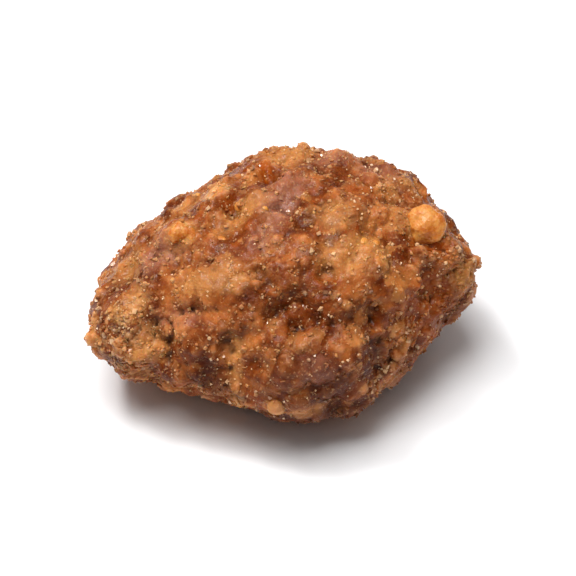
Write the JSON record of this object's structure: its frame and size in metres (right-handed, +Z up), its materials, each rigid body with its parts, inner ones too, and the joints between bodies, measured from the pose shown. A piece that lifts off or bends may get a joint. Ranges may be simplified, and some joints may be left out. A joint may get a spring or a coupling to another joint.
{
  "type": "honey roasted almond",
  "caption": "Almond kernel in a thick, craggy crust of cooked sugar and honey, blunt at one end and pointed at the other, lying on its broad side.",
  "frame": {"origin": "on the plane that the almond rests on, under the middle of its box", "axes": "+X along the almond from its pointed end to its blunt end, +Y to its back, +Z up from the flat it rests on; it leans 8 degrees towards -Y, and its pointed end dips 3 degrees"},
  "size_m": [0.0264, 0.0194, 0.0141],
  "materials": {
    "crust": "grainy cooked sugar, satin, with glossy drops of honey"
  },
  "bodies": {
    "root": {"almond": "crust"}
  },
  "joints": []
}
